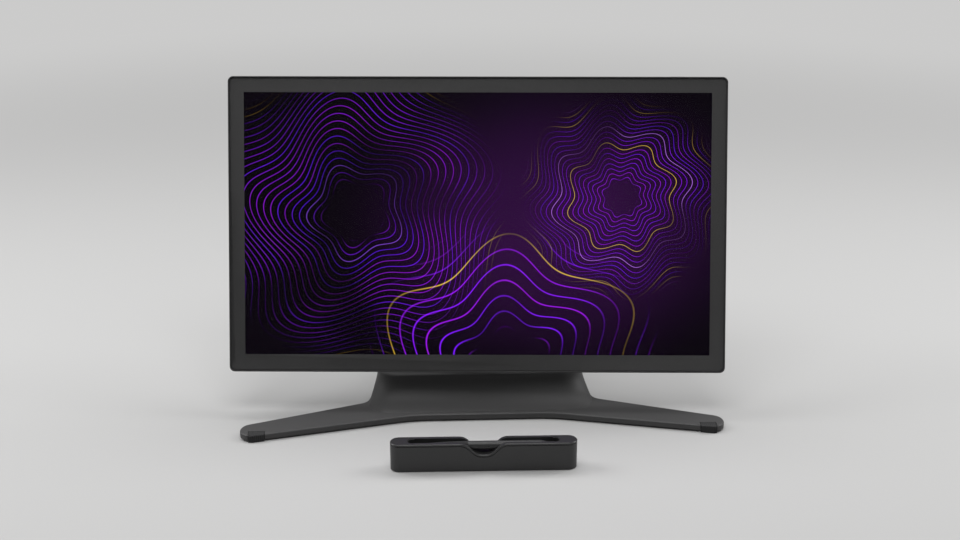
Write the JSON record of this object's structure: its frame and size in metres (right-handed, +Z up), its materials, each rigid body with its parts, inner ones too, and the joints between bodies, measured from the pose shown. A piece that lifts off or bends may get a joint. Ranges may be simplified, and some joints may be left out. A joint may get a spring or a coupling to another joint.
{
  "type": "pen display with stand and pen holder",
  "caption": "Wide flat pen display on a low splayed-leg desk stand that swivels and tilts, with an oblong pen holder and a pen lying in it.",
  "frame": {"origin": "on the desk, under the middle of the whole outline seen from above", "axes": "+X to the right seen from the front, +Y to the back, +Z up; the front faces -Y and the stand is square to the axes"},
  "size_m": [0.6436, 0.3546, 0.4226],
  "materials": {
    "case_paint": "fine matt charcoal paint on light alloy",
    "cover_plastic": "fine spark texture",
    "etched_glass": "etched, anti-glare",
    "border_print": "charcoal print behind the glass",
    "screen": "lit picture",
    "diffuser": "milky",
    "circuit_board": "solder mask",
    "sheet_aluminium": "mill",
    "fan_plastic": "moulded",
    "socket_steel": "nickel plated",
    "grip_rubber": "soft touch",
    "key_plastic": "satin",
    "insert_brass": "turned",
    "bracket_steel": "zinc plated, darkened",
    "stand_paint": "fine matt charcoal paint on light alloy",
    "base_cover_steel": "black coated sheet",
    "foot_rubber": "matt",
    "shroud_plastic": "fine spark texture",
    "holder_plastic": "soft satin",
    "nib_plastic": "smooth",
    "pen_plastic": "satin",
    "pen_rubber": "soft touch",
    "pen_key_plastic": "semi gloss"
  },
  "bodies": {
    "stand": {"stand_base": "stand_paint", "base_cover_plate": "base_cover_steel", "base_cover_screws": "bracket_steel", "foot_pad_front_left": "foot_rubber", "foot_pad_front_right": "foot_rubber", "foot_pads_rear": "foot_rubber", "swivel_race": "insert_brass", "swivel_stop_pin": "bracket_steel", "cable_clip": "shroud_plastic"},
    "head": {"swivel_plate": "stand_paint", "swivel_spindle": "bracket_steel", "spindle_nut": "bracket_steel", "head_column": "stand_paint", "column_cover_front": "shroud_plastic", "column_cover_rear": "shroud_plastic", "tilt_shaft": "bracket_steel", "tilt_discs": "bracket_steel", "tilt_nuts": "bracket_steel"},
    "display": {"chassis_frame": "case_paint", "cover_glass": "etched_glass", "border_mask": "border_print", "lcd_panel": "screen", "backlight_unit": "diffuser", "pen_sensor_board": "circuit_board", "shield_plate": "sheet_aluminium", "main_board": "circuit_board", "heat_sink": "sheet_aluminium", "fan_housings": "fan_plastic", "port_board": "circuit_board", "port_sockets": "socket_steel", "rear_cover": "cover_plastic", "vent_grille": "cover_plastic", "rear_grip_left": "grip_rubber", "rear_grip_right": "grip_rubber", "side_inserts": "insert_brass", "hinge_bracket": "bracket_steel", "bracket_screws": "bracket_steel"},
    "fan_left": {"fan_rotor_left": "fan_plastic"},
    "fan_right": {"fan_rotor_right": "fan_plastic"},
    "rear_key_left_1": {"rear_key_left_1": "key_plastic"},
    "rear_key_left_2": {"rear_key_left_2": "key_plastic"},
    "rear_key_left_3": {"rear_key_left_3": "key_plastic"},
    "rear_key_left_4": {"rear_key_left_4": "key_plastic"},
    "rear_key_right_1": {"rear_key_right_1": "key_plastic"},
    "rear_key_right_2": {"rear_key_right_2": "key_plastic"},
    "rear_key_right_3": {"rear_key_right_3": "key_plastic"},
    "rear_key_right_4": {"rear_key_right_4": "key_plastic"},
    "power_button": {"power_button": "key_plastic"},
    "pen_holder": {"holder_shell": "holder_plastic", "holder_tray": "holder_plastic", "holder_base": "holder_plastic", "holder_pad": "foot_rubber", "spare_nibs": "nib_plastic"},
    "pen": {"pen_barrel": "pen_plastic", "pen_grip": "pen_rubber", "pen_tail": "pen_plastic"},
    "pen_nib": {"pen_nib": "nib_plastic"},
    "pen_key_front": {"pen_key_front": "pen_key_plastic"},
    "pen_key_rear": {"pen_key_rear": "pen_key_plastic"}
  },
  "joints": [
    {"name": "swivel", "type": "hinge", "parent": "stand", "child": "head", "pos_m": [0.00279, 0.09335, 0.05205], "axis": [0, 0, 1], "range_deg": [-17, 23]},
    {"name": "tilt", "type": "hinge", "parent": "head", "child": "display", "pos_m": [0.00202, 0.07871, 0.19635], "axis": [-0.9986, 0.0523, 0], "range_deg": [0, 67.5]},
    {"name": "fan_left_spin", "type": "hinge", "parent": "display", "child": "fan_left", "pos_m": [-0.17608, 0.08144, 0.31377], "axis": [0.0499, 0.9524, -0.3007], "continuous": true},
    {"name": "fan_right_spin", "type": "hinge", "parent": "display", "child": "fan_right", "pos_m": [0.17943, 0.0628, 0.31377], "axis": [0.0499, 0.9524, -0.3007], "continuous": true},
    {"name": "rear_key_left_1_press", "type": "slide", "parent": "display", "child": "rear_key_left_1", "axis": [-0.0499, -0.9524, 0.3007], "range_m": [0, 0.0006], "stiffness_N_per_m": 700, "springref_m": -0.001},
    {"name": "rear_key_left_2_press", "type": "slide", "parent": "display", "child": "rear_key_left_2", "axis": [-0.0499, -0.9524, 0.3007], "range_m": [0, 0.0006], "stiffness_N_per_m": 700, "springref_m": -0.001},
    {"name": "rear_key_left_3_press", "type": "slide", "parent": "display", "child": "rear_key_left_3", "axis": [-0.0499, -0.9524, 0.3007], "range_m": [0, 0.0006], "stiffness_N_per_m": 700, "springref_m": -0.001},
    {"name": "rear_key_left_4_press", "type": "slide", "parent": "display", "child": "rear_key_left_4", "axis": [-0.0499, -0.9524, 0.3007], "range_m": [0, 0.0006], "stiffness_N_per_m": 700, "springref_m": -0.001},
    {"name": "rear_key_right_1_press", "type": "slide", "parent": "display", "child": "rear_key_right_1", "axis": [-0.0499, -0.9524, 0.3007], "range_m": [0, 0.0006], "stiffness_N_per_m": 700, "springref_m": -0.001},
    {"name": "rear_key_right_2_press", "type": "slide", "parent": "display", "child": "rear_key_right_2", "axis": [-0.0499, -0.9524, 0.3007], "range_m": [0, 0.0006], "stiffness_N_per_m": 700, "springref_m": -0.001},
    {"name": "rear_key_right_3_press", "type": "slide", "parent": "display", "child": "rear_key_right_3", "axis": [-0.0499, -0.9524, 0.3007], "range_m": [0, 0.0006], "stiffness_N_per_m": 700, "springref_m": -0.001},
    {"name": "rear_key_right_4_press", "type": "slide", "parent": "display", "child": "rear_key_right_4", "axis": [-0.0499, -0.9524, 0.3007], "range_m": [0, 0.0006], "stiffness_N_per_m": 700, "springref_m": -0.001},
    {"name": "power_button_press", "type": "slide", "parent": "display", "child": "power_button", "axis": [-0.0157, -0.3003, -0.9537], "range_m": [0, 0.0006], "stiffness_N_per_m": 900, "springref_m": -0.001},
    {"name": "pen_holder_lift", "type": "slide", "parent": "stand", "child": "pen_holder", "axis": [0, 0, 1], "range_m": [0, 0.03]},
    {"name": "pen_lift", "type": "slide", "parent": "pen_holder", "child": "pen", "axis": [0, 0, 1], "range_m": [0, 0.05]},
    {"name": "pen_nib_press", "type": "slide", "parent": "pen", "child": "pen_nib", "axis": [0.9999, -0.0147, 0], "range_m": [0, 0.0008], "stiffness_N_per_m": 1200, "springref_m": -0.0004},
    {"name": "pen_key_front_press", "type": "slide", "parent": "pen", "child": "pen_key_front", "axis": [0.0143, 0.9743, 0.225], "range_m": [0, 0.0003], "stiffness_N_per_m": 900, "springref_m": -0.0006},
    {"name": "pen_key_rear_press", "type": "slide", "parent": "pen", "child": "pen_key_rear", "axis": [0.0143, 0.9743, 0.225], "range_m": [0, 0.0003], "stiffness_N_per_m": 900, "springref_m": -0.0006}
  ]
}
